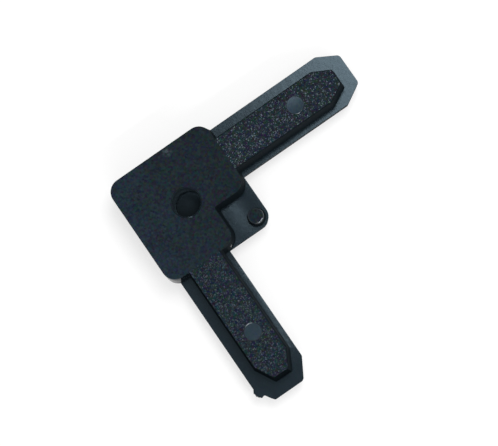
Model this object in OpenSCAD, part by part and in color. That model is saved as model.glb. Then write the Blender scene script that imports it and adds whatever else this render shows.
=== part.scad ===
// Window corner joint: one moulded piece, a square corner block with two push-in arms.
// Sizes are in millimetres and angles in degrees. The flat back lies on z = 0, the face looks up.
// x runs along one arm and y along the other; their flanges' middle lines cross at the origin.
// The parting line is level with the flange tops: walls lean in above it and below it.

/* [Block] */
// side of the square block, measured at the parting line
block_side = 25; // [24:0.5:30]
// height from the flat back to the face
block_height = 8.5; // [7:0.25:11]
// width of each limb of the face beside the notch
limb_width = 16.3; // [15.5:0.1:17.5]
// radius of the block's outer corners
corner_radius = 2.9; // [2:0.1:3.5]
// radius at the face of the lobes that end the notch
lobe_radius = 2.8; // [2:0.1:3.4]
// angle by which walls lean in from the parting line
draft_angle = 6.3; // [2:0.1:8]

/* [Flanges] */
// height of the flange and boss tops above the back
flange_height = 4; // [3:0.1:4.8]
// width of each flange
flange_width = 12.2; // [11.6:0.1:13]
// distance from the block's outer face to the flange's side
flange_inset = 1.7; // [1.2:0.1:2.2]
// length of each flange beyond the block
flange_reach = 30.8; // [26:0.2:40]
// length of the slanted corners at the flange tip
flange_tip_run = 4.4; // [3:0.1:5]
// depth of the slanted corners across the flange tip
flange_tip_cut = 2.55; // [1.5:0.05:3]

/* [Ribs] */
// width of each rib at the face
rib_width = 7.8; // [7:0.1:8]
// distance from the flange's outer side to the rib's edge at the face
rib_inset = 2.9; // [2.5:0.1:3.2]
// distance from the flange tip back to the rib tip at the face
rib_setback = 3.6; // [2.5:0.1:5]
// length of the slanted corners at the rib tip
rib_tip_run = 3.9; // [2.5:0.1:5]
// depth of the slanted corners across the rib tip
rib_tip_cut = 2.1; // [1.2:0.05:2.6]
// angle by which the rib's walls lean in
rib_draft = 4.8; // [1:0.1:8]

/* [Boss] */
// radius of the boss corner at the parting line
boss_radius = 2.8; // [2.4:0.1:3.4]
// diameter of the peg on the boss
peg_diameter = 3.5; // [3:0.1:4]
// height of the peg above the boss
peg_height = 2; // [1:0.1:3]
// distance from the boss's sides to the middle of the peg
peg_inset = 2.6; // [2.5:0.1:3.2]
// rounding of the peg's top edge
peg_edge = 0.4; // [0.1:0.05:0.6]

/* [Socket] */
// diameter of the blind hole in the face
socket_diameter = 6; // [4:0.1:7]
// thickness left under the blind hole
socket_floor = 1.5; // [0.8:0.1:4]
// bevel at the mouth of the blind hole
socket_bevel = 0.2; // [0.05:0.05:0.5]

/* [Ejector marks] */
// diameter of the round marks left by the ejector pins
mark_diameter = 3.8; // [2.5:0.1:5]
// distance of each mark from the block's end
mark_reach = 17.1; // [8:0.1:18]
// height of the raised mark
raised_mark = 0.15; // [0.05:0.05:0.3]
// depth of the sunk mark
sunk_mark = 0.15; // [0.05:0.05:0.3]

/* [Gate stub] */
// share of the slanted flange corner that the broken gate stub takes up
stub_share = 0.53; // [0.4:0.01:0.85]
// how far the stub stands out from the slanted corner
stub_reach = 1; // [0.4:0.05:1.5]
// thickness of the stub below the parting line
stub_height = 1.4; // [0.8:0.1:2]

/* [Hidden] */
$fn = 64;
bury = 1;
slope = tan(draft_angle);
rib_slope = tan(rib_draft);
upper_lean = slope * (block_height - flange_height);
lower_lean = slope * flange_height;
flange_middle = flange_inset + flange_width / 2;
flange_far = flange_inset + flange_width;
flange_tip = block_side + flange_reach;
rib_near = flange_inset + rib_inset;
rib_far = rib_near + rib_width;
rib_middle = rib_near + rib_width / 2;
rib_tip = flange_tip - rib_setback;
face_end = block_side - upper_lean;
back_end = block_side - lower_lean;
limb_foot = limb_width + upper_lean;
lobe_x = limb_width - lobe_radius;
lobe_y = face_end - lobe_radius;
axis_inset = corner_radius / cos(draft_angle);
boss_centre = block_side - boss_radius;
peg_centre = block_side - peg_inset;
socket_centre = face_end / 2;
mark_place = block_side + mark_reach;
flange_slant = atan2(flange_tip_cut, flange_tip_run);
rib_slant = atan2(rib_tip_cut, rib_tip_run);
stub_length = stub_share * norm([flange_tip_run, flange_tip_cut]);
socket_depth = block_height - socket_floor;

// bar from x0 to x1 whose profile is given in y and z
module bar_along_x(x0, x1, profile) {
    translate([x0, 0, 0])
        rotate([90, 0, 90])
            linear_extrude(x1 - x0)
                polygon(profile);
}

// bar from y0 to y1 whose profile is given in x and z
module bar_along_y(y0, y1, profile) {
    translate([0, y1, 0])
        rotate([90, 0, 0])
            linear_extrude(y1 - y0)
                polygon(profile);
}

// profile of an end wall that leans in both ways from the parting line, set back from the block's end
function end_profile(start, back) = [
    [start, 0],
    [back_end - back, 0],
    [block_side - back, flange_height],
    [face_end - back, block_height],
    [start, block_height]
];

// leaning rounded corner where the limb's end wall meets the block's square outer face
module end_corner() {
    intersection() {
        translate([corner_radius, block_side - axis_inset, flange_height])
            rotate([draft_angle, 0, 0])
                translate([0, 0, -bury])
                    cylinder(h = 2 * block_height, r = corner_radius);
        translate([0, 0, flange_height])
            cube([block_side, 2 * block_side, block_height - flange_height]);
    }
    intersection() {
        translate([corner_radius, block_side - axis_inset, flange_height])
            rotate([-draft_angle, 0, 0])
                translate([0, 0, bury - 2 * block_height])
                    cylinder(h = 2 * block_height, r = corner_radius);
        cube([block_side, 2 * block_side, flange_height]);
    }
}

// one limb of the block along y, with its end wall, outer corner, lobe and notch wall
module limb() {
    bar_along_x(0, lobe_x, end_profile(corner_radius, axis_inset));
    bar_along_x(corner_radius, lobe_x, end_profile(corner_radius, 0));
    end_corner();
    bar_along_y(corner_radius, lobe_y, [
        [corner_radius, flange_height - bury],
        [limb_foot + bury * slope, flange_height - bury],
        [limb_width, block_height],
        [corner_radius, block_height]
    ]);
    translate([lobe_x, lobe_y, flange_height])
        cylinder(h = block_height - flange_height, r1 = lobe_radius + upper_lean, r2 = lobe_radius);
}

// low square that fills the notch between the limbs, with a rounded leaning corner
module boss() {
    start = corner_radius;
    side = [
        [start, 0],
        [back_end, 0],
        [block_side, flange_height],
        [start, flange_height]
    ];
    bar_along_x(start, boss_centre, side);
    bar_along_y(start, boss_centre, side);
    translate([boss_centre, boss_centre, 0])
        cylinder(h = flange_height, r1 = boss_radius - lower_lean, r2 = boss_radius);
}

module block() {
    limb();
    mirror([1, -1, 0])
        limb();
    translate([corner_radius, corner_radius, 0])
        cylinder(h = block_height, r = corner_radius);
    boss();
}

// space outside a plane through (x, y, z), facing the direction turn and leaning by tilt
module cut_away(x, y, z, turn, tilt) {
    translate([x, y, z])
        rotate([0, 0, turn])
            rotate([0, tilt, 0])
                translate([0, -15, -20])
                    cube([15, 30, 40]);
}

// flange along y, with leaning sides and a tip with two slanted corners
module flange() {
    difference() {
        bar_along_y(block_side / 2, flange_tip + bury, [
            [flange_inset + lower_lean, 0],
            [flange_far - lower_lean, 0],
            [flange_far, flange_height],
            [flange_inset, flange_height]
        ]);
        cut_away(flange_middle, flange_tip, flange_height, 90, draft_angle);
        cut_away(flange_inset, flange_tip - flange_tip_run, flange_height,
            180 - flange_slant, draft_angle);
        cut_away(flange_far, flange_tip - flange_tip_run, flange_height,
            flange_slant, draft_angle);
    }
}

// rib along y, level with the face and standing on the flange
module rib() {
    spread = rib_slope * (block_height - flange_height + bury);
    difference() {
        bar_along_y(block_side / 2, rib_tip + spread + bury, [
            [rib_near - spread, flange_height - bury],
            [rib_far + spread, flange_height - bury],
            [rib_far, block_height],
            [rib_near, block_height]
        ]);
        cut_away(rib_middle, rib_tip, block_height, 90, -rib_draft);
        cut_away(rib_near, rib_tip - rib_tip_run, block_height, 180 - rib_slant, -rib_draft);
        cut_away(rib_far, rib_tip - rib_tip_run, block_height, rib_slant, -rib_draft);
    }
}

// peg on the boss, close to its rounded corner, with a rounded top edge
module peg() {
    radius = peg_diameter / 2;
    translate([peg_centre, peg_centre, flange_height - bury])
        cylinder(h = peg_height - peg_edge + bury, r = radius);
    translate([peg_centre, peg_centre, flange_height + peg_height - peg_edge])
        rotate_extrude() {
            square([radius - peg_edge, peg_edge]);
            intersection() {
                translate([radius - peg_edge, 0])
                    circle(r = peg_edge);
                translate([radius - peg_edge, 0])
                    square([peg_edge, peg_edge]);
            }
        }
}

// blind round hole in the middle of the face, with a bevelled mouth
module socket() {
    radius = socket_diameter / 2;
    translate([socket_centre, socket_centre, block_height - socket_depth])
        cylinder(h = socket_depth + 1, r = radius);
    translate([socket_centre, socket_centre, block_height - socket_bevel])
        cylinder(h = 2 * socket_bevel, r1 = radius, r2 = radius + 2 * socket_bevel);
}

// torn end of the moulding gate, on the slanted outer corner of the flange along x
module gate_stub() {
    translate([flange_tip - flange_tip_run, flange_inset, flange_height - stub_height])
        rotate([0, 0, flange_slant])
            linear_extrude(stub_height)
                polygon([
                    [0, 0.9],
                    [-0.08 * stub_length, 0.05 * stub_reach],
                    [0.07 * stub_length, -0.43 * stub_reach],
                    [0.15 * stub_length, -0.72 * stub_reach],
                    [0.24 * stub_length, -0.75 * stub_reach],
                    [0.39 * stub_length, -0.94 * stub_reach],
                    [0.48 * stub_length, -0.92 * stub_reach],
                    [0.57 * stub_length, -stub_reach],
                    [0.77 * stub_length, -0.94 * stub_reach],
                    [0.86 * stub_length, -0.76 * stub_reach],
                    [0.9 * stub_length, -0.3 * stub_reach],
                    [stub_length, -0.1 * stub_reach],
                    [stub_length, 0.9]
                ]);
}

module corner_joint() {
    color([0.025, 0.03, 0.036])
        translate([-flange_middle, -flange_middle, 0])
            difference() {
                union() {
                    block();
                    flange();
                    rib();
                    mirror([1, -1, 0]) {
                        flange();
                        rib();
                    }
                    peg();
                    gate_stub();
                    translate([rib_middle, mark_place, block_height - bury])
                        cylinder(h = bury + raised_mark, r = mark_diameter / 2);
                }
                socket();
                translate([mark_place, rib_middle, block_height - sunk_mark])
                    cylinder(h = 1, r = mark_diameter / 2);
            }
}

corner_joint();
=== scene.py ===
import math

import bpy
import numpy as np
from mathutils import Matrix, Vector
from mathutils.geometry import delaunay_2d_cdt


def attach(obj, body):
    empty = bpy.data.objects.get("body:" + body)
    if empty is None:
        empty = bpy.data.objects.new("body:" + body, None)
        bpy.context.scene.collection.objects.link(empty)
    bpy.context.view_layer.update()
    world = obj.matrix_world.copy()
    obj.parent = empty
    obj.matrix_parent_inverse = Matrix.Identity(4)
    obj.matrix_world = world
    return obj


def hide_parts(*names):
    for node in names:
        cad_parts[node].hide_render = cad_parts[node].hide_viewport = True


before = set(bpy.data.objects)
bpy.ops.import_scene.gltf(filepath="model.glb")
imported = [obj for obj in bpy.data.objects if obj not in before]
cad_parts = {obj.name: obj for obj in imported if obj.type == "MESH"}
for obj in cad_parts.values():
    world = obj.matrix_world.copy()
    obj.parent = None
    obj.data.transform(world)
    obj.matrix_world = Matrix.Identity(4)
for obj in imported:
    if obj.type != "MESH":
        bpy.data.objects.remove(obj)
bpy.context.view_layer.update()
print("frame loaded")

scene = bpy.context.scene
scene.view_settings.view_transform = "Standard"

# Sizes of the moulding are in mm and angles in degrees. Places are measured from the block's square
# outer corner, and the frame's origin lies where the two flanges' middle lines cross.
originAt = 7.8
metres = 0.001
quarter = np.radians((0, 22.5, 45, 67.5, 90))  # the angles at which a rounded edge has its rings

form = {
    "side": 25.0, "height": 8.5, "limb": 16.3, "corner": 2.9, "lobe": 2.8, "draft": 6.3,
    "flange": 4.0, "flangeFrom": 1.7, "flangeTo": 13.9, "reach": 30.8, "tipRun": 4.4, "tipCut": 2.55,
    "ribFrom": 4.6, "ribTo": 12.4, "ribBack": 3.3, "ribRun": 3.9, "ribCut": 2.1, "ribDraft": 4.8,
    "ribOut": 0.15,  # the X arm's rib is wider by this on its outer side
    "boss": 2.8, "pegIn": 2.6,
    "tipRound": 1.0, "insideRound": 0.3, "notchRound": 0.35, "ribTipRound": 0.35,
    "faceEdge": 0.3, "ribEdge": 0.18, "notchEdge": 0.12, "rim": 0.06, "backEdge": 0.25,
    "notchOut": 0.1, "notchFlare": 0.05,  # how far the notch walls lie out, and how much more at their foot
    # the square outer walls are set back a little at the back, on the rim, at the upper foot and at the face
    "wallBack": 0.02, "wallTop": 0.002, "wallFoot": 0.012, "wallFace": 0.04, "footIn": 0.03,
    # beside a rounded edge, a ring this much further in keeps the flat's shading level
    "hold": {"back": 0.05, "top": 0.02, "face": 0.04},
    "sharpFrom": 25,  # edges that turn by more than this stay sharp
}
slope = math.tan(math.radians(form["draft"]))
ribSlope = math.tan(math.radians(form["ribDraft"]))
upperLean = slope * (form["height"] - form["flange"])
ribLean = ribSlope * (form["height"] - form["flange"])
lowerLean = slope * form["flange"]
faceEnd = form["side"] - upperLean
bossAt = form["side"] - form["boss"]
pegAt = form["side"] - form["pegIn"]
tipAt = form["side"] + form["reach"]
ribTip = tipAt - form["ribBack"]
ribMiddle = (form["ribFrom"] + form["ribTo"]) / 2

# how many points each stretch of an outline has
steps = {"corner": 10, "end": 14, "tip": 7, "root": 6, "flangeSide": 15, "bossSide": 19, "boss": 12,
         "bend": 5, "lobe": 20}

# the torn stub of the gate: its reach along the tip's slanted corner, and its share of that at each height
stub = {"seed": 11, "points": 41, "rootRound": 0.2, "tipRound": 0.5,
        "along": (0, 0.03, 0.06, 0.21, 0.32, 0.45, 0.5, 0.52, 0.58, 0.85, 1),
        "reach": (0.3, 0.56, 0.8, 1.0, 1.06, 1.0, 0.82, 0.33, 0.12, 0.1, 0),
        "heights": (2.45, 2.6, 2.8, 3.2, 3.6, 3.85, 3.94),
        "shares": (0, 0.55, 0.9, 1.0, 1.0, 0.95, 0.9), "rimShare": 0.88, "topShare": 0.86,
        "outlineNoise": 0.16, "tornNoise": 0.2, "backBulge": 0.02}


# Outlines

def arc(centre, radius, start, end, count):
    # points on a circle between two angles; the radius may differ from point to point
    angle = np.radians(np.linspace(start, end, count))
    return np.column_stack((centre[0] + radius * np.cos(angle), centre[1] + radius * np.sin(angle)))


def bend(before, corner, after, radius, count):
    # the arc that rounds a corner: it touches both straights, and turns by the angle between them
    before, corner, after = map(np.asarray, (before, corner, after))
    goes = (corner - before) / np.linalg.norm(corner - before)
    leaves = (after - corner) / np.linalg.norm(after - corner)
    cross = goes[0] * leaves[1] - goes[1] * leaves[0]
    turn = math.atan2(cross, goes @ leaves)
    side = np.array((-goes[1], goes[0])) * math.copysign(radius, turn)
    centre = corner - goes * radius * math.tan(abs(turn) / 2) + side
    angle = math.atan2(-side[1], -side[0]) + np.linspace(0, turn, count)
    return centre + radius * np.column_stack((np.cos(angle), np.sin(angle)))


def between(start, end, count):
    # evenly spaced points on a straight, without its two ends
    return start + (end - start) * np.linspace(0, 1, count)[1:-1, None]


def setBack(path, gaps):
    # every straight of an open path moves to its left by its own gap, and neighbours meet again
    path = np.asarray(path, float)
    gaps = np.broadcast_to(gaps, len(path) - 1)[:, None]
    along = np.diff(path, axis=0)
    along = along / np.linalg.norm(along, axis=1)[:, None]
    left = np.column_stack((-along[:, 1], along[:, 0]))
    base = path[:-1] + left * gaps
    cross = along[:-1, 0] * along[1:, 1] - along[:-1, 1] * along[1:, 0]
    step = base[1:] - base[:-1]
    reach = (step[:, 0] * along[1:, 1] - step[:, 1] * along[1:, 0]) / cross
    meets = base[:-1] + along[:-1] * reach[:, None]
    return np.vstack((base[:1], meets, path[-1:] + left[-1:] * gaps[-1:]))


def wholeLoop(xHalf, yHalf):
    # the X arm's half, then the Y arm's, which is mirrored across the diagonal and runs back
    return np.vstack((xHalf, yHalf[::-1, ::-1][1:-1]))


def level(outline, height):
    return np.column_stack((outline, np.broadcast_to(height, len(outline))))


def ringsRound(centre, profile, count):
    # a profile of (radius, height) pairs turned about an upright axis
    turn = np.linspace(0, 2 * math.pi, count, endpoint=False)
    profile = np.asarray(profile, float)
    x = centre[0] + profile[:, :1] * np.cos(turn)
    y = centre[1] + profile[:, :1] * np.sin(turn)
    return np.stack((x, y, np.broadcast_to(profile[:, 1:2], x.shape)), axis=-1)


def bellRound(middle, width, count):
    # a bell over the angle round a ring: exp of minus the square of the angle from its middle over its width
    turn = np.linspace(0, 360, count, endpoint=False)
    turn = (turn - middle + 180) % 360 - 180
    return np.exp(-(turn / width) ** 2)


def lowerHalf(lean, wall, rim, bulge=None):
    # one arm's half of the lower outline, set back by lean and rim: outer corner, block end, flange with
    # its pointed tip, boss. The outer wall is set back by wall, and a bulge is a row of distances by which
    # the stub stands out from the tip's outer slant.
    gap = lean + rim
    radius, near, far = form["corner"], form["flangeFrom"], form["flangeTo"]
    slantAt = tipAt - form["tipRun"]
    path = setBack(((form["side"], near), (slantAt, near), (tipAt, near + form["tipCut"]),
                    (tipAt, far - form["tipCut"]), (slantAt, far), (form["side"], far),
                    (form["side"], bossAt)), gap)
    endMiddle = (form["side"] - lean - wall - radius, wall + radius)
    stop = math.degrees(math.asin((near + gap - endMiddle[1]) / radius))
    tips = [bend(*path[k - 1:k + 2], form["tipRound"], steps["tip"]) for k in (1, 2, 3, 4)]
    slant = np.empty((0, 2))
    if bulge is not None:
        tips[0] = bend(*path[0:3], stub["rootRound"], steps["tip"])
        tips[1] = bend(*path[1:4], stub["tipRound"], steps["tip"])
        start, end = tips[0][-1], tips[1][0]
        out = (end - start)[::-1] * (1, -1)
        slant = between(start, end, len(bulge) + 2) + out / np.linalg.norm(out) * bulge[:, None]
    root = bend(*path[4:7], form["insideRound"], steps["root"])
    bossStart = np.array((form["side"] - gap, bossAt))
    return np.vstack((
        arc((wall + radius, wall + radius), radius, 225, 270, steps["corner"]),
        arc(endMiddle, radius, 270, 360 + stop, steps["end"]),
        tips[0], slant, *tips[1:],
        between(tips[3][-1], root[0], steps["flangeSide"]), root,
        between(root[-1], bossStart, steps["bossSide"]),
        arc((bossAt, bossAt), form["boss"] - gap, 0, 45, steps["boss"])))


def upperHalf(blockGap, ribGap, notchGap, wall, outward=0.0):
    # one arm's half of the upper outline, each stretch set back by its own gap: outer corner, block end, rib
    # with its pointed tip, lobe, notch. The lobe's gap goes over from the block's to the notch's by a
    # smooth step, 3 s squared minus 2 s cubed, and the rib's outer side moves outward.
    # With each stretch go its shares in the rib and in the notch.
    radius, near, far, limb = form["corner"], form["ribFrom"], form["ribTo"], form["limb"]
    slantAt = ribTip - form["ribRun"]
    path = setBack(((faceEnd, radius), (faceEnd, near), (slantAt, near),
                    (ribTip, near + form["ribCut"]), (ribTip, far - form["ribCut"]),
                    (slantAt, far), (faceEnd, far), (faceEnd, limb), (limb, limb)),
                   (blockGap, ribGap - outward, ribGap, ribGap, ribGap, ribGap, blockGap, blockGap))
    inner = limb - notchGap + form["notchRound"]
    grows = np.linspace(0, 1, steps["bend"])
    passes = np.linspace(0, 1, steps["lobe"])
    passes = passes ** 2 * (3 - 2 * passes)
    lobeRadius = form["lobe"] - blockGap - (notchGap - blockGap) * passes
    stretches = (
        (arc((wall + radius, wall + radius), radius, 225, 270, steps["corner"]), 0, 0),
        (arc((faceEnd - blockGap - radius, wall + radius), radius, 270, 360, steps["end"]), 0, 0),
        (bend(*path[0:3], form["insideRound"], steps["bend"]), grows, 0),
        *((bend(*path[k - 1:k + 2], form["ribTipRound"], steps["bend"]), 1, 0) for k in (2, 3, 4, 5)),
        (bend(*path[5:8], form["insideRound"], steps["bend"]), grows[::-1], 0),
        (arc((faceEnd - form["lobe"], limb - form["lobe"]), lobeRadius, 0, 90, steps["lobe"]), 0, passes),
        (arc((inner, inner), form["notchRound"], 270, 225, steps["bend"]), 0, 1))
    outline = np.vstack([points for points, _, _ in stretches])
    onRib = np.concatenate([np.broadcast_to(rib, len(points)) for points, rib, _ in stretches])
    onNotch = np.concatenate([np.broadcast_to(notch, len(points)) for points, _, notch in stretches])
    return outline, onRib, onNotch


# Gathering of surfaces, each face with the number of its finish

finishNames = ("face", "rib", "satin", "wall", "mark", "paintedLightBore", "bevel", "paintedLightBoreWall", "blockEnd",
               "brightRib", "paintedShadeWall")
finish = {name: slot for slot, name in enumerate(finishNames)}
surface = {"points": [], "quads": [], "triangles": [], "count": 0}


def keepPoints(points):
    start = surface["count"]
    surface["points"].append(points)
    surface["count"] += len(points)
    return start


def wallOf(rings, slots):
    # closed rings of equal length joined by quads; rings that go up face out, rings that go down face in
    rings = np.asarray(rings, float)
    high, wide = rings.shape[:2]
    start = keepPoints(rings.reshape(-1, 3))
    row, col = np.meshgrid(np.arange(high - 1), np.arange(wide), indexing="ij")
    after = (col + 1) % wide
    quads = np.stack((row * wide + col, row * wide + after, (row + 1) * wide + after,
                      (row + 1) * wide + col), axis=-1).reshape(-1, 4) + start
    surface["quads"].append((quads, np.broadcast_to(slots, (high - 1, wide)).reshape(-1)))


def inside(points, loops):
    # even-odd test: a point is inside if a line from it along x crosses the loops an odd number of times
    hits = np.zeros(len(points), int)
    px, py = points[:, 0][:, None], points[:, 1][:, None]
    for loop in loops:
        tail = loop[:, :2]
        head = np.roll(tail, -1, axis=0)
        spans = (tail[:, 1] > py) != (head[:, 1] > py)
        rise = np.where(head[:, 1] == tail[:, 1], 1.0, head[:, 1] - tail[:, 1])
        crossing = tail[:, 0] + (py - tail[:, 1]) / rise * (head[:, 0] - tail[:, 0])
        hits += np.sum(spans & (px < crossing), axis=1)
    return hits % 2 == 1


def fillOf(loops, extra, slotsOf, up=True):
    # level area between closed loops, with free points inside it, as triangles that face up or down
    extra = np.asarray(extra, float).reshape(-1, 3)
    points = np.vstack((*loops, extra))
    edges, first = [], 0
    for loop in loops:
        ids = np.arange(len(loop)) + first
        edges.append(np.column_stack((ids, np.roll(ids, -1))))
        first += len(loop)
    nearness = 1e-7
    made = delaunay_2d_cdt([Vector(p[:2]) for p in points], np.vstack(edges).tolist(), [], 0, nearness)
    source = np.array([ids[0] for ids in made[3]])
    triangles = source[np.array([tuple(f) for f in made[2]])]
    triangles = triangles[inside(points[triangles].mean(axis=1), loops)]
    one, two, three = (points[triangles[:, k]] for k in range(3))
    area = ((two[:, 0] - one[:, 0]) * (three[:, 1] - one[:, 1])
            - (two[:, 1] - one[:, 1]) * (three[:, 0] - one[:, 0]))
    wrong = (area > 0) != up
    triangles[wrong] = triangles[wrong][:, ::-1]
    start = keepPoints(points)
    slots = slotsOf(points[triangles].mean(axis=1)) if callable(slotsOf) else np.full(len(triangles), slotsOf)
    surface["triangles"].append((triangles + start, slots))


# Lower level, from the back up to the parting line

warp = {"drop": 0.13, "from": 26.0, "to": 50.0, "ramp": 3.0, "beyond": 13.0, "clear": 0.1, "root": 3.0}


def sinkEdge(ring):
    # the X arm's inner edge has sunk: full drop along its middle, fading out over a ramp at both ends,
    # and fading out evenly down the wall to its root
    x, y, z = ring.T
    share = np.clip(np.minimum(x - warp["from"], warp["to"] - x) / warp["ramp"], 0, 1)
    share = share * np.clip((z - warp["root"]) / (form["flange"] - form["rim"] - warp["root"]), 0, 1)
    inner = (y > warp["beyond"]) & (y < form["flangeTo"] + warp["clear"])
    ring[:, 2] -= warp["drop"] * share * inner


def lowerRing(height, lean, wall, rim, bulge):
    return level(wholeLoop(lowerHalf(lean, wall, rim, bulge), lowerHalf(lean, wall, rim)), height)


def lowerLevel():
    # a rounded back edge, the leaning wall with the torn stub, and the rounding of the rim.
    # The stub's reach and each of its levels are ragged by random shares, and at the back a bulge like
    # half a sine wave keeps the points off one straight line.
    draw = np.random.RandomState(stub["seed"])
    count, edge, rim, hold = stub["points"], form["backEdge"], form["rim"], form["hold"]
    along = np.linspace(0, 1, count)
    ragged = 1 + stub["outlineNoise"] * (draw.rand(count) - 0.5)
    reach = np.interp(along, stub["along"], stub["reach"]) * ragged
    bulge = stub["backBulge"] * np.sin(math.pi * (along * count + 0.5) / (count + 1))
    rings = [lowerRing(0, lowerLean, form["wallBack"] + hold["back"], edge + hold["back"], bulge)]
    for angle in quarter[::-1]:
        rise = edge * (1 - math.sin(angle))
        lean = lowerLean * (1 - rise / form["flange"])
        rings.append(lowerRing(rise, lean, form["wallBack"], edge * (1 - math.cos(angle)), bulge))
    for height, share in zip(stub["heights"], stub["shares"]):
        torn = reach * share * (1 + stub["tornNoise"] * (draw.rand(count) - 0.5))
        rings.append(lowerRing(height, slope * (form["flange"] - height), 0, 0, torn))
    for angle in quarter[1:]:
        height = form["flange"] - rim * (1 - math.sin(angle))
        rings.append(lowerRing(height, 0, 0, rim * (1 - math.cos(angle)), reach * stub["rimShare"]))
    rings.append(lowerRing(form["flange"], 0, form["wallTop"], rim + hold["top"], reach * stub["topShare"]))
    for ring in rings:
        sinkEdge(ring)
    return rings


lowerRings = lowerLevel()
rimRings = len(quarter)  # the rings of the rim's rounding and the one that holds the flat
wallOf(lowerRings[:-rimRings], finish["wall"])
wallOf(lowerRings[-rimRings - 1:], finish["satin"])
fillOf([lowerRings[0]], [], finish["wall"], up=False)
print("lower level:", len(lowerRings), "rings of", len(lowerRings[0]))

# Upper level, from the parting line up to the face

sink = {"from": 17.2, "pitch": 0.4, "depth": 0.087, "skew": 1.25, "fall": 4, "fade": 2.0,
        "clear": 0.2, "pegClear": 0.4}
# smooth stretches of the X arm's block wall: the end corner, from a share of its radius, and part of the lobe
smoothWall = {"endShare": 0.8, "lobeFrom": 14.5, "lobeTo": 15.3, "high": 0.45}


def dipAt(x, y):
    # the boss has shrunk: across y it dips like the square of a sine wave, deepest beyond its middle;
    # along x the dip is full at the notch wall, falls off by the fourth power to the edge,
    # and fades out over a short way behind the wall
    near, far = form["limb"] + upperLean, form["side"]
    across = np.sin(math.pi * np.clip((y - near) / (far - near), 0, 1) ** sink["skew"]) ** 2
    along = 1 - np.clip((x - near) / (far - near), 0, 1) ** sink["fall"]
    behind = np.clip((x - near) / sink["fade"] + 1, 0, 1)
    return sink["depth"] * across * along * behind


def upperRing(height, *gaps):
    return level(wholeLoop(upperHalf(*gaps, form["ribOut"])[0], upperHalf(*gaps)[0]), height)


def upperLevel():
    # the walls' foot, which dips with the boss, the rounded edge of the face, and a ring that holds the flat.
    # Each edge turns in by its size times one minus the cosine, and ends lower by one minus the sine.
    faceEdge, ribEdge, notchEdge = form["faceEdge"], form["ribEdge"], form["notchEdge"]
    footGaps = (form["footIn"] - upperLean, -ribLean,
                -upperLean - form["notchOut"] - form["notchFlare"], form["wallFoot"])
    _, *shares = upperHalf(*footGaps)
    onRib, onNotch = (np.concatenate((share, share[::-1][1:-1])) for share in shares)
    edge = faceEdge + (ribEdge - faceEdge) * onRib + (notchEdge - faceEdge) * onNotch
    foot = upperRing(form["flange"], *footGaps)
    foot[:, 2] -= dipAt(foot[:, 0], foot[:, 1])
    rings = [foot]
    turns = [(1 - math.sin(angle), 1 - math.cos(angle), 0) for angle in quarter]
    for below, inset, extra in (*turns, (0, 1, form["hold"]["face"])):
        rings.append(upperRing(form["height"] - edge * below,
                               inset * faceEdge - slope * faceEdge * below + extra,
                               inset * ribEdge - ribSlope * ribEdge * below + extra,
                               inset * notchEdge - slope * notchEdge * below + extra - form["notchOut"],
                               form["wallFace"] + inset * faceEdge + extra))
    return rings, onRib


def upperWalls(rings, ribShare):
    # walls are matt; the outer side of the X arm's rib takes a darker copy of the wall finish with almost no
    # shine, painted shade for the shadow that falls on it
    foot, top = rings[:2]
    across, along = foot[:, :2].min(axis=1), foot[:, :2].max(axis=1)
    onRib = ribShare > 0.5
    onBlock = (ribShare < 0.5) & (foot[:, 0] > foot[:, 1])
    onLobe = onBlock & (across > smoothWall["lobeFrom"]) & (across < smoothWall["lobeTo"])
    atEnd = onBlock & (across < form["ribFrom"])
    atEnd &= along > form["side"] - smoothWall["endShare"] * form["corner"]
    shadedRibSide = onRib & (foot[:, 0] > form["side"]) & (foot[:, 1] < ribMiddle)
    plain = np.where(shadedRibSide, finish["paintedShadeWall"], finish["wall"])
    middle = foot + (top - foot) * smoothWall["high"]
    wallOf((foot, middle, top), np.where((atEnd | onLobe, atEnd), finish["blockEnd"], plain))
    wallOf(rings[1:], np.where(onRib, plain, finish["face"]))


upperRings, shareInRib = upperLevel()
upperWalls(upperRings, shareInRib)
print("upper level:", len(upperRings), "rings of", len(upperRings[0]))

# Blind hole, with a low lip that is worn lower on one side

hole = {"at": (12.25, 12.25), "radius": 3.0, "depth": 7.0, "mouth": 0.1, "foot": 0.35, "hold": 0.1,
        "steps": 72, "lip": 0.16, "lipHeight": 0.09, "wornAt": 13.0, "wornWidth": 17.0, "wornBy": 0.4}


def holeRings():
    # lip, rounded mouth, wall, rounded foot and floor, as one profile; the wear is a bell in the angle
    radius, mouth, foot = hole["radius"], hole["mouth"], hole["foot"]
    lipTop = form["height"] + hole["lipHeight"]
    floorAt = form["height"] - hole["depth"]
    turnIn = [(radius + mouth * (1 - math.sin(a)), lipTop - mouth * (1 - math.cos(a))) for a in quarter]
    turnOut = [(radius - foot * (1 - math.cos(a)), floorAt + foot * (1 - math.sin(a))) for a in quarter]
    profile = [(radius + mouth + hole["lip"], form["height"]), *turnIn, *turnOut,
               (radius - foot - hole["hold"], floorAt)]
    rings = ringsRound(hole["at"], profile, hole["steps"])
    worn = hole["lipHeight"] * hole["wornBy"] * bellRound(hole["wornAt"], hole["wornWidth"], hole["steps"])
    rings[1:6, :, 2] -= worn
    return rings


socketRings = holeRings()
wallOf(socketRings[:2], finish["blockEnd"])
wallOf(socketRings[1:6], finish["face"])
# painted light: the hole's wall and floor take lighter finishes, lighter still deeper down and on the side in
# the top lamp's shadow
wallOf(socketRings[5:7], finish["paintedLightBoreWall"])
wallOf(socketRings[6:], finish["paintedLightBore"])
fillOf([socketRings[-1]], [], finish["paintedLightBore"])

# Round ejector marks, one raised and one sunk

marks = {"radius": 1.9, "clear": 0.32, "hold": 0.05, "steps": 56, "inner": (1.45, 1.15, 0.85, 0.55, 0.25),
         "raised": {"at": (8.5, 42.1), "step": 0.07, "bevel": 0.12, "lean": -2.2, "twist": 4.0},
         "sunk": {"at": (42.1, 8.5), "step": -0.07, "bevel": 0.14, "lean": 0.0, "twist": 0.0}}


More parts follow.
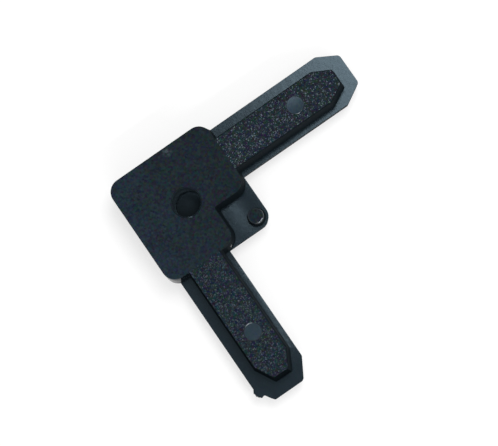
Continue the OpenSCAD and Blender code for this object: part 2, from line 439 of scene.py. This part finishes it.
def markRings(mark):
    # a bevelled rim; inside it the disc leans along y, by an angle that changes evenly along x
    radius, top = marks["radius"], form["height"] + mark["step"]
    flat = radius - mark["bevel"]
    profile = [(radius, form["height"]), *((r, top) for r in (flat, flat - marks["hold"], *marks["inner"]))]
    rings = ringsRound(mark["at"], profile, marks["steps"])
    x, y = rings[:, :, 0] - mark["at"][0], rings[:, :, 1] - mark["at"][1]
    rings[:, :, 2] -= y * np.tan(np.radians(mark["lean"] - mark["twist"] * x / radius))
    return rings


markLoops = []
for kind in ("raised", "sunk"):
    rings = markRings(marks[kind])
    wallOf(rings[:2], finish["bevel"])
    wallOf(rings[1:], finish["mark"])
    fillOf([rings[-1]], [], finish["mark"])
    markLoops.append(rings[0])

# Peg on the boss

peg = {"radius": 1.78, "top": 1.66, "height": 2.0, "edge": 0.36, "drop": 0.168, "foot": 0.15, "steps": 56,
       "shoulder": 0.12, "shoulderIn": 0.05, "footHold": 0.03, "topHold": 0.1,
       "wornAt": 26.0, "wornWidth": 18.0, "narrow": 0.55}


def pegRings():
    # a rounded foot that dips with the boss, a slightly narrower top, and a bevel that is full where it is
    # worn and narrow elsewhere, by a bell in the angle
    radius, foot, top, edge, drop = (peg[key] for key in ("radius", "foot", "top", "edge", "drop"))
    topAt = form["flange"] + peg["height"]
    turnUp = [(radius + foot * (1 - math.sin(a)), form["flange"] + foot * (1 - math.cos(a))) for a in quarter]
    profile = [(radius + foot + peg["footHold"], form["flange"]), *turnUp,
               (top, topAt - drop - peg["shoulder"]), (top - peg["shoulderIn"], topAt - drop),
               (top - edge, topAt), (top - edge - peg["topHold"], topAt)]
    rings = ringsRound((pegAt, pegAt), profile, peg["steps"])
    bevel = peg["narrow"] + (1 - peg["narrow"]) * bellRound(peg["wornAt"], peg["wornWidth"], peg["steps"])
    rings[:6, :, 2] -= dipAt(rings[:6, :, 0], rings[:6, :, 1])
    rings[6:8, :, 2] += drop * (1 - bevel)
    wider = 1 + (1 - bevel) * edge / top
    rings[8:, :, :2] = pegAt + (rings[8:, :, :2] - pegAt) * wider[None, :, None]
    return rings


bossPeg = pegRings()
wallOf(bossPeg[:7], finish["wall"])
wallOf(bossPeg[6:9], finish["bevel"])
wallOf(bossPeg[8:], finish["face"])
fillOf([bossPeg[-1]], [], finish["face"])
print("hole, marks and peg made")

# Level areas: flange tops and boss, then the face with the ribs


def sinkPoints():
    # a grid over the boss, clear of its corner, the peg and the lobes, at the height of the dip
    line = np.arange(sink["from"], form["side"] - sink["clear"], sink["pitch"])
    x, y = (g.ravel() for g in np.meshgrid(line, line, indexing="ij"))
    fromPeg = np.hypot(x - pegAt, y - pegAt)
    fromBoss = np.hypot(x - bossAt, y - bossAt)
    corner = (x > bossAt) & (y > bossAt) & (fromBoss > form["boss"] - sink["clear"])
    lobes = np.minimum(np.hypot(x - faceEnd + form["lobe"], y - form["limb"] + form["lobe"]),
                       np.hypot(y - faceEnd + form["lobe"], x - form["limb"] + form["lobe"]))
    keep = ~corner & (fromPeg > peg["radius"] + sink["pegClear"])
    keep &= lobes > form["lobe"] + upperLean + sink["clear"]
    return np.column_stack((x, y, form["flange"] - dipAt(x, y)))[keep]


ribGrain = {"seed": 5, "pitch": 0.34, "depth": 0.02, "heights": (-1, 0.4), "jitter": 0.3, "clear": 0.3,
            "from": 0.1, "splitPoints": 22}


def grainPoints():
    # a jittered grid over both rib tops, clear of their edges, slants and marks;
    # the height of each point is drawn at random
    draw = np.random.RandomState(ribGrain["seed"])
    pitch, clear, jitter = ribGrain["pitch"], ribGrain["clear"], ribGrain["jitter"]
    lengthwise = np.arange(form["side"] + ribGrain["from"], ribTip - clear, pitch)
    crosswise = np.arange(form["ribFrom"] + clear, form["ribTo"] - clear, pitch)
    x, y = np.meshgrid(lengthwise, crosswise, indexing="ij")
    shift = draw.uniform(-jitter, jitter, (2, *x.shape)) * pitch
    arm = np.column_stack(((x + shift[0]).ravel(), (y + shift[1]).ravel()))
    halfWide = (form["ribTo"] - form["ribFrom"]) / 2 - clear
    pastSlant = np.clip(arm[:, 0] - (ribTip - form["ribRun"]) + clear, 0, None)
    arm = arm[np.abs(arm[:, 1] - ribMiddle) < halfWide - pastSlant * form["ribCut"] / form["ribRun"]]
    both = np.vstack((arm, arm[:, ::-1]))
    for mark in (marks["raised"], marks["sunk"]):
        away = np.linalg.norm(both - mark["at"], axis=1)
        both = both[away > marks["radius"] + marks["clear"]]
    return level(both, form["height"] + draw.uniform(*ribGrain["heights"], len(both)) * ribGrain["depth"])


def splitPoints():
    # two rows of points where the block's face ends and the ribs' grain begins
    count, clear = ribGrain["splitPoints"], ribGrain["clear"]
    across = np.linspace(form["ribFrom"] + clear, form["ribTo"] - clear, count)
    row = np.column_stack((np.full(count, faceEnd), across, np.full(count, form["height"])))
    return np.vstack((row, row[:, (1, 0, 2)]))


def topSlots(middle):
    onX, onY = middle[:, 0] > faceEnd, middle[:, 1] > faceEnd
    return np.where(onX, finish["rib"], np.where(onY, finish["brightRib"], finish["face"]))


fillOf([lowerRings[-1], upperRings[0], bossPeg[0]], sinkPoints(), finish["satin"])
fillOf([upperRings[-1], socketRings[0], *markLoops], np.vstack((splitPoints(), grainPoints())), topSlots)
print("level areas filled")


# One closed mesh

def weld():
    # points that agree to a hundred-thousandth of a mm become one
    points = np.vstack(surface["points"])
    _, first, inverse = np.unique(np.round(points * 1e5).astype(np.int64), axis=0,
                                  return_index=True, return_inverse=True)
    inverse = inverse.reshape(-1)
    quads = np.vstack([faces for faces, _ in surface["quads"]])
    triangles = np.vstack([faces for faces, _ in surface["triangles"]])
    slots = np.concatenate([slot for _, slot in surface["quads"] + surface["triangles"]])
    return points[first], inverse[quads], inverse[triangles], slots


def solidMesh(name):
    points, quads, triangles, slots = weld()
    mesh = bpy.data.meshes.new(name)
    mesh.vertices.add(len(points))
    mesh.vertices.foreach_set("co", ((points - (originAt, originAt, 0)) * metres).ravel())
    corners = np.concatenate((quads.ravel(), triangles.ravel()))
    sizes = np.concatenate((np.full(len(quads), 4), np.full(len(triangles), 3)))
    starts = np.concatenate(((0,), np.cumsum(sizes)[:-1]))
    mesh.loops.add(len(corners))
    mesh.loops.foreach_set("vertex_index", corners.astype(np.int32))
    mesh.polygons.add(len(sizes))
    mesh.polygons.foreach_set("loop_start", starts.astype(np.int32))
    mesh.polygons.foreach_set("material_index", slots.astype(np.int32))
    mesh.polygons.foreach_set("use_smooth", np.ones(len(sizes), bool))
    mesh.update(calc_edges=True)
    mesh.validate()
    mesh.set_sharp_from_angle(angle=math.radians(form["sharpFrom"]))
    return mesh


body = bpy.data.objects.new("cornerMoulding", solidMesh("cornerMoulding"))
scene.collection.objects.link(body)
print("mesh:", len(body.data.vertices), "points,", len(body.data.polygons), "faces")

# Finishes of the black plastic. Scales are cells per metre, and places and depths are in metres.
# What a finish doesn't give, it takes from the plain look.
plainLook = {"tint": (0.62, 0.85, 1.0), "ior": 1.5, "ramp": (0.38, 0.62), "speckle": 0.4, "noiseRough": 0.6,
             "cloudScale": 140, "cloudDetail": 3, "grainScale": 2600, "grainDetail": 2, "grainDepth": 0.00001,
             "fleck": 0.002, "fleckScale": 2600, "fleckTint": (0.65, 1.0, 1.0), "facet": 0}
looks = {
    "face": {"dark": (0.0002, 0.0006, 0.0026), "light": (0.0046, 0.0082, 0.0154), "shine": 0.2,
             "rough": (0.7, 0.85), "grainScale": 2300, "grainDetail": 3, "grainDepth": 0.0001, "speckle": 0.7,
             "fleck": 0.0138, "fleckScale": 2300,
             # painted light and shade: the face's tone runs from lighter to darker along y, for light that
             # falls unevenly across it
             "paintedLightRamp": {"along": (0, 1, 0), "between": (-0.0078, 0.0167), "times": (1.9, 0.52)},
             "scuff": {"at": (-0.0066, 0.0070, 0.0085), "fade": (0.0004, 0.0013), "grain": (0.42, 0.62),
                       "scale": 1500, "detail": 2, "colour": (0.03, 0.04, 0.052)}},
    "rib": {"dark": (0.0002, 0.0014, 0.006), "light": (0.0008, 0.0036, 0.0105), "tint": (0.72, 0.87, 1.0),
            "shine": 0.185, "rough": (0.09, 0.13), "cloudScale": 160, "grainScale": 1700,
            "grainDepth": 0.0001, "speckle": 0.5, "facet": 0.9, "facetScale": 5200,
            "fleck": 0.02, "fleckScale": 2700},
    "brightRib": {"dark": (0.0001, 0.0007, 0.005), "light": (0.0005, 0.0022, 0.0085),
                  "tint": (0.7, 0.87, 1.0), "shine": 0.24, "rough": (0.07, 0.1), "cloudScale": 160,
                  "grainScale": 1700, "grainDepth": 0.0001, "speckle": 0.5, "facet": 0.95, "facetScale": 4800,
                  "fleck": 0.021, "fleckScale": 2700},
    "satin": {"dark": (0.0025, 0.006, 0.010), "light": (0.005, 0.0095, 0.0145), "shine": 0.45,
              "rough": (0.17, 0.21), "grainScale": 800, "grainDepth": 0.000013, "speckle": 0.3,
              "fleck": 0.003},
    "blockEnd": {"dark": (0.002, 0.0035, 0.005), "light": (0.0035, 0.0055, 0.0075), "shine": 0.15,
                 "rough": (0.1, 0.14)},
    "mark": {"dark": (0.005, 0.012, 0.021), "light": (0.009, 0.017, 0.028), "shine": 0.36,
             "rough": (0.27, 0.31), "cloudScale": 300, "grainScale": 3000, "grainDepth": 0.000008,
             "speckle": 0.3, "fleck": 0.009, "fleckScale": 2200},
    # painted light: the hole's floor is far lighter than the face, and its tone runs from darker on the lit
    # side to lighter on the side in the top lamp's shadow
    "paintedLightBore": {"dark": (0.022, 0.032, 0.039), "light": (0.0265, 0.0385, 0.0475), "shine": 0.1,
             "rough": (0.7, 0.8), "cloudScale": 200, "grainDepth": 0.00002,
             "paintedLightRamp": {"along": (-0.7, 0.7, 0), "between": (-0.003, 0.003), "times": (0.18, 6.5)}},
    # painted light: the hole's wall is lighter than the face and lighter still the deeper it goes, against
    # the shade inside the hole
    "paintedLightBoreWall": {"dark": (0.010, 0.015, 0.018), "light": (0.0125, 0.018, 0.022), "shine": 0.05,
                 "rough": (0.7, 0.8), "cloudScale": 200, "grainDepth": 0.00002,
                 "paintedLightRamp": {"along": (0, 0, -1), "between": (-0.0085, -0.0015), "times": (1.0, 9.0)}},
    "wall": {"dark": (0.004, 0.0065, 0.0085), "light": (0.006, 0.009, 0.012), "shine": 0.02,
             "rough": (0.6, 0.7)},
    # painted shade: a darker, almost shineless copy of the wall finish for the outer wall of the X arm's rib,
    # which lies in shadow
    "paintedShadeWall": {"dark": (0.0016, 0.0027, 0.0038), "light": (0.0026, 0.0042, 0.0056), "shine": 0.002,
                 "rough": (0.6, 0.7)},
    "bevel": {"dark": (0.004, 0.007, 0.010), "light": (0.007, 0.011, 0.015), "tint": (0.85, 0.93, 1.0),
              "shine": 0.4, "rough": (0.1, 0.14), "cloudScale": 200},
}


class NodeDesk:
    # the nodes of one material, with short ways to place and join them

    def __init__(self, name):
        self.material = bpy.data.materials.new(name)
        self.material.use_nodes = True
        self.nodes = self.material.node_tree.nodes
        self.shader = self.nodes["Principled BSDF"]
        self.place = self.nodes.new("ShaderNodeTexCoord").outputs["Object"]

    def join(self, value, socket):
        # a socket of another node is linked, and anything else is set as the socket's own value
        if isinstance(value, bpy.types.NodeSocket):
            self.material.node_tree.links.new(value, socket)
        else:
            socket.default_value = value

    def add(self, kind, inputs, **settings):
        node = self.nodes.new("ShaderNode" + kind)
        for key, value in settings.items():
            setattr(node, key, value)
        for key, value in inputs.items():
            self.join(value, node.inputs[key])
        return node

    def noise(self, scale, detail, rough):
        inputs = {"Vector": self.place, "Scale": scale, "Detail": detail, "Roughness": rough}
        return self.add("TexNoise", inputs).outputs["Fac"]

    def cells(self, scale):
        return self.add("TexVoronoi", {"Vector": self.place, "Scale": scale}).outputs["Color"]

    def vector(self, operation, *values):
        node = self.add("VectorMath", dict(enumerate(values)), operation=operation)
        return node.outputs["Value" if operation in ("DOT_PRODUCT", "DISTANCE") else "Vector"]

    def mapped(self, value, source, target):
        inputs = {"Value": value, "From Min": source[0], "From Max": source[1],
                  "To Min": target[0], "To Max": target[1]}
        return self.add("MapRange", inputs).outputs["Result"]


def toned(desk, look, grain):
    # a slow cloud and the fine grain are mixed, and the mix runs from the dark to the light tone
    cloud = desk.noise(look["cloudScale"], look["cloudDetail"], look["noiseRough"])
    both = desk.add("Mix", {"Factor": look["speckle"], "A": cloud, "B": grain})
    tone = desk.add("ValToRGB", {"Fac": both.outputs["Result"]})
    for element, at, colour in zip(tone.color_ramp.elements, look["ramp"], (look["dark"], look["light"])):
        element.position = at
        element.color = (*colour, 1)
    return tone.outputs["Color"]


def withPaintedLightRamp(desk, colour, paintedLightRamp):
    # painted light and shade: the tone changes along one direction, by equal ratios over equal ways: two to
    # the power of an even ramp
    along = desk.vector("DOT_PRODUCT", desk.place, paintedLightRamp["along"])
    power = desk.mapped(along, paintedLightRamp["between"], np.log2(paintedLightRamp["times"]))
    times = desk.add("Math", {0: 2, 1: power}, operation="POWER")
    scaled = desk.add("VectorMath", {0: colour, "Scale": times.outputs["Value"]}, operation="SCALE")
    return scaled.outputs["Vector"]


def scuffed(desk, colour, scuff, noiseRough):
    # a rubbed spot, paler towards its middle and broken up by a noise
    away = desk.vector("DISTANCE", desk.place, scuff["at"])
    near = desk.mapped(away, scuff["fade"], (1, 0))
    patchy = desk.mapped(desk.noise(scuff["scale"], scuff["detail"], noiseRough), scuff["grain"], (0, 1))
    rubbed = desk.add("Math", {0: near, 1: patchy}, operation="MULTIPLY").outputs["Value"]
    mix = desk.add("Mix", {"Factor": rubbed, "A": colour, "B": (*scuff["colour"], 1)}, data_type="RGBA")
    return mix.outputs["Result"]


def flecked(desk, colour, look):
    # every small cell adds a faint colour of its own, with less red
    cold = desk.vector("MULTIPLY", desk.cells(look["fleckScale"]), look["fleckTint"])
    inputs = {"Factor": look["fleck"], "A": colour, "B": cold}
    mix = desk.add("Mix", inputs, data_type="RGBA", blend_type="ADD")
    return mix.outputs["Result"]


def leaning(desk, normal, look):
    # spark-eroded pits: every cell leans the surface its own way, by up to half of facet along each axis
    facet = look["facet"]
    lean = desk.vector("MULTIPLY_ADD", desk.cells(look["facetScale"]), (facet,) * 3, (-facet / 2,) * 3)
    return desk.vector("NORMALIZE", desk.vector("ADD", lean, normal))


def plasticFinish(name, look):
    desk = NodeDesk(name)
    grain = desk.noise(look["grainScale"], look["grainDetail"], look["noiseRough"])
    colour = toned(desk, look, grain)
    # painted light and shade: a tone ramp along one direction
    if "paintedLightRamp" in look:
        colour = withPaintedLightRamp(desk, colour, look["paintedLightRamp"])
    if "scuff" in look:
        colour = scuffed(desk, colour, look["scuff"], look["noiseRough"])
    bump = desk.add("Bump", {"Strength": 1, "Distance": look["grainDepth"], "Height": grain})
    normal = bump.outputs["Normal"]
    if look["facet"]:
        normal = leaning(desk, normal, look)
    inputs = {"Base Color": flecked(desk, colour, look), "Normal": normal,
              "Roughness": desk.mapped(grain, (0, 1), look["rough"]), "IOR": look["ior"],
              "Specular IOR Level": look["shine"], "Specular Tint": (*look["tint"], 1)}
    for key, value in inputs.items():
        desk.join(value, desk.shader.inputs[key])
    return desk.material


for name in finishNames:
    body.data.materials.append(plasticFinish(name + "Plastic", {**plainLook, **looks[name]}))

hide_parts("corner_joint")
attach(body, "root")
print("finishes set")

# Floor, light and camera

floorLook = {"half": 1.6, "colour": (0.98, 0.98, 0.98), "rough": 0.9, "shine": 0.1, "whiteShare": 0.6}
room = {"low": 0.85, "high": 0.45, "ramp": (0.1, 0.95)}
lamps = {"topLight": {"azimuth": 113, "elevation": 67, "size": (0.3, 0.3), "power": 1.9},
         "sideLight": {"azimuth": 0, "elevation": 42, "size": (0.7, 0.05), "power": 1.4}}
lampAim = (0.012, 0.012, 0)
lampDistance = 0.6
shot = {"target": (22.83, 20.44, 6.0), "lean": 8.72, "towards": 3.1, "roll": 145.64, "distance": 450,
        "pixelsPerMm": 4.845, "pixelsWide": 498, "sensor": 36, "clip": (0.01, 20)}


def paleFloor():
    # a near-white floor that keeps the shadow, mixed with plain white where the camera or a reflection
    # sees it
    half = floorLook["half"]
    mesh = bpy.data.meshes.new("paleFloor")
    mesh.from_pydata([(-half, -half, 0), (half, -half, 0), (half, half, 0), (-half, half, 0)], [],
                     [(0, 1, 2, 3)])
    floor = bpy.data.objects.new("paleFloor", mesh)
    scene.collection.objects.link(floor)
    desk = NodeDesk("paleFloor")
    desk.join((*floorLook["colour"], 1), desk.shader.inputs["Base Color"])
    desk.join(floorLook["rough"], desk.shader.inputs["Roughness"])
    desk.join(floorLook["shine"], desk.shader.inputs["Specular IOR Level"])
    ray = desk.add("LightPath", {}).outputs
    seen = ray["Is Camera Ray"]
    for kind in ("Is Glossy Ray", "Is Transmission Ray"):
        seen = desk.add("Math", {0: seen, 1: ray[kind]}, operation="MAXIMUM").outputs["Value"]
    share = desk.add("Math", {0: seen, 1: floorLook["whiteShare"]}, operation="MULTIPLY").outputs["Value"]
    white = desk.add("Emission", {}).outputs["Emission"]
    mix = desk.add("MixShader", {0: share, 1: desk.shader.outputs["BSDF"], 2: white})
    desk.join(mix.outputs["Shader"], desk.nodes["Material Output"].inputs["Surface"])
    mesh.materials.append(desk.material)


def softbox(name, look):
    # a lamp at its azimuth and elevation on a sphere round the aim, facing the aim
    lamp = bpy.data.lights.new(name, "AREA")
    lamp.shape = "RECTANGLE"
    lamp.size, lamp.size_y = look["size"]
    lamp.energy = look["power"]
    azimuth, elevation = math.radians(look["azimuth"]), math.radians(look["elevation"])
    flat = math.cos(elevation)
    away = Vector((math.cos(azimuth) * flat, math.sin(azimuth) * flat, math.sin(elevation)))
    light = bpy.data.objects.new(name, lamp)
    light.location = Vector(lampAim) + away * lampDistance
    light.rotation_euler = away.to_track_quat("Z", "Y").to_euler()
    scene.collection.objects.link(light)


def roomLight():
    # a grey room that runs from lighter at the horizon to darker overhead
    world = bpy.data.worlds.new("studio")
    scene.world = world
    world.use_nodes = True
    nodes, links = world.node_tree.nodes, world.node_tree.links
    where = nodes.new("ShaderNodeTexCoord")
    split = nodes.new("ShaderNodeSeparateXYZ")
    ramp = nodes.new("ShaderNodeValToRGB")
    for element, at, grey in zip(ramp.color_ramp.elements, room["ramp"], (room["low"], room["high"])):
        element.position = at
        element.color = (grey, grey, grey, 1)
    links.new(where.outputs["Generated"], split.inputs["Vector"])
    links.new(split.outputs["Z"], ramp.inputs["Fac"])
    links.new(ramp.outputs["Color"], nodes["Background"].inputs["Color"])


def takePhoto():
    # the camera stands off by a small lean from straight above; roll turns the picture
    lean, towards, roll = (math.radians(shot[key]) for key in ("lean", "towards", "roll"))
    away = Vector((math.sin(lean) * math.cos(towards), math.sin(lean) * math.sin(towards), math.cos(lean)))
    right = (-away).cross(Vector((math.cos(roll), math.sin(roll), 0))).normalized()
    up = right.cross(-away)
    camera = bpy.data.objects.new("camera", bpy.data.cameras.new("camera"))
    scene.collection.objects.link(camera)
    aim = (Vector(shot["target"]) - Vector((originAt, originAt, 0))) * metres
    place = Matrix((right, up, away)).transposed().to_4x4()
    place.translation = aim + away * shot["distance"] * metres
    camera.matrix_world = place
    camera.data.sensor_width = shot["sensor"]
    camera.data.lens = shot["pixelsPerMm"] * shot["distance"] * shot["sensor"] / shot["pixelsWide"]
    camera.data.clip_start, camera.data.clip_end = shot["clip"]
    scene.camera = camera


paleFloor()
roomLight()
for name, look in lamps.items():
    softbox(name, look)
takePhoto()
print("stage set")
